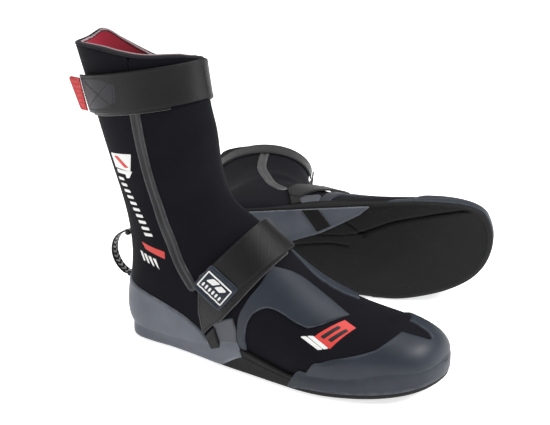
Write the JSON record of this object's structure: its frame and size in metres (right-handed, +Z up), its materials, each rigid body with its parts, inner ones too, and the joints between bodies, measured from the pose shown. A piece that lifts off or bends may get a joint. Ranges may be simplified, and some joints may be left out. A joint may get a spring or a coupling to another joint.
{
  "type": "neoprene surf boots",
  "caption": "Pair of round-toe neoprene surf boots, one standing and one lying on its side, with ankle and instep straps, rubber overlays and grained rubber soles.",
  "frame": {"origin": "on the ground under the middle of the right boot's heel, 40 mm ahead of its back edge", "axes": "+Z is up; +X points from heel to toe of the standing right boot; +Y points from the right boot to the left boot lying behind it"},
  "size_m": [0.4361, 0.4399, 0.282],
  "materials": {
    "neoprene": "matt knitted jersey over foam",
    "fleece": "brushed red fleece",
    "edge_tape": "matt",
    "sole_rubber": "fine pebble grain",
    "insole_foam": "matt",
    "overlay_rubber": "satin",
    "tape_rubber": "satin",
    "webbing": "woven",
    "loop_fabric": "brushed loop pile",
    "hook_plastic": "fine hooks",
    "tab_rubber": "satin",
    "badge_rubber": "satin with a pale raised border",
    "loop_webbing": "woven, black and white"
  },
  "bodies": {
    "right_boot": {"right_heel_panel": "neoprene", "right_foot_panel": "neoprene", "right_shin_panel": "neoprene", "right_lining": "fleece", "right_collar_edge": "edge_tape", "right_outsole": "sole_rubber", "right_insole": "insole_foam", "right_toe_divider": "neoprene", "right_toe_cap": "overlay_rubber", "right_heel_counter": "overlay_rubber", "right_lateral_wing": "overlay_rubber", "right_medial_wing": "overlay_rubber", "right_instep_overlay": "overlay_rubber", "right_medial_overlay": "overlay_rubber", "right_lateral_seam_tape": "tape_rubber", "right_medial_seam_tape": "tape_rubber", "right_ankle_strap_anchor": "webbing", "right_ankle_loop_patch": "loop_fabric", "right_instep_pad": "loop_fabric", "right_lateral_anchor": "webbing", "right_medial_anchor": "webbing", "right_medial_strap": "webbing", "right_heel_loop_tabs": "loop_webbing"},
    "right_ankle_strap": {"right_ankle_strap": "webbing", "right_ankle_hook_patch": "hook_plastic", "right_ankle_pull_tab": "tab_rubber"},
    "right_instep_strap": {"right_instep_strap": "webbing", "right_instep_hook_patch": "hook_plastic", "right_strap_badge": "badge_rubber"},
    "right_heel_loop": {"right_heel_loop": "loop_webbing"},
    "left_boot": {"left_heel_panel": "neoprene", "left_foot_panel": "neoprene", "left_shin_panel": "neoprene", "left_lining": "fleece", "left_collar_edge": "edge_tape", "left_outsole": "sole_rubber", "left_insole": "insole_foam", "left_toe_divider": "neoprene", "left_toe_cap": "overlay_rubber", "left_heel_counter": "overlay_rubber", "left_lateral_wing": "overlay_rubber", "left_medial_wing": "overlay_rubber", "left_instep_overlay": "overlay_rubber", "left_medial_overlay": "overlay_rubber", "left_lateral_seam_tape": "tape_rubber", "left_medial_seam_tape": "tape_rubber", "left_ankle_strap_anchor": "webbing", "left_ankle_loop_patch": "loop_fabric", "left_instep_pad": "loop_fabric", "left_lateral_anchor": "webbing", "left_medial_anchor": "webbing", "left_medial_strap": "webbing", "left_heel_loop_tabs": "loop_webbing"},
    "left_ankle_strap": {"left_ankle_strap": "webbing", "left_ankle_hook_patch": "hook_plastic", "left_ankle_pull_tab": "tab_rubber"},
    "left_instep_strap": {"left_instep_strap": "webbing", "left_instep_hook_patch": "hook_plastic", "left_strap_badge": "badge_rubber"},
    "left_heel_loop": {"left_heel_loop": "loop_webbing"}
  },
  "joints": [
    {"name": "right_ankle_strap_peel", "type": "hinge", "parent": "right_boot", "child": "right_ankle_strap", "pos_m": [0.04088, 0, 0.25218], "axis": [-0.1646, 0, 0.9864], "range_deg": [0, 100]},
    {"name": "right_instep_strap_peel", "type": "hinge", "parent": "right_boot", "child": "right_instep_strap", "pos_m": [0.10178, 0.024, 0.107], "axis": [-0.8326, 0, 0.5538], "range_deg": [0, 110]},
    {"name": "right_heel_loop_swing", "type": "hinge", "parent": "right_boot", "child": "right_heel_loop", "pos_m": [-0.058, 0, 0.07], "axis": [0, 0, 1], "range_deg": [-40, 40], "stiffness_Nm_per_rad": 0.003},
    {"name": "left_boot_lift", "type": "slide", "parent": "right_boot", "child": "left_boot", "axis": [0, 0, 1], "range_m": [0, 0.3]},
    {"name": "left_ankle_strap_peel", "type": "hinge", "parent": "left_boot", "child": "left_ankle_strap", "pos_m": [-0.02767, 0.36538, 0.04547], "axis": [0.4048, -0.9139, 0.0298], "range_deg": [0, 100]},
    {"name": "left_instep_strap_peel", "type": "hinge", "parent": "left_boot", "child": "left_instep_strap", "pos_m": [0.06582, 0.24013, 0.07604], "axis": [0.9426, -0.3281, 0.0618], "range_deg": [0, 110]},
    {"name": "left_heel_loop_swing", "type": "hinge", "parent": "left_boot", "child": "left_heel_loop", "pos_m": [-0.07783, 0.16428, 0.0431], "axis": [0.2491, -0.9683, 0.02], "range_deg": [-40, 40], "stiffness_Nm_per_rad": 0.003}
  ]
}
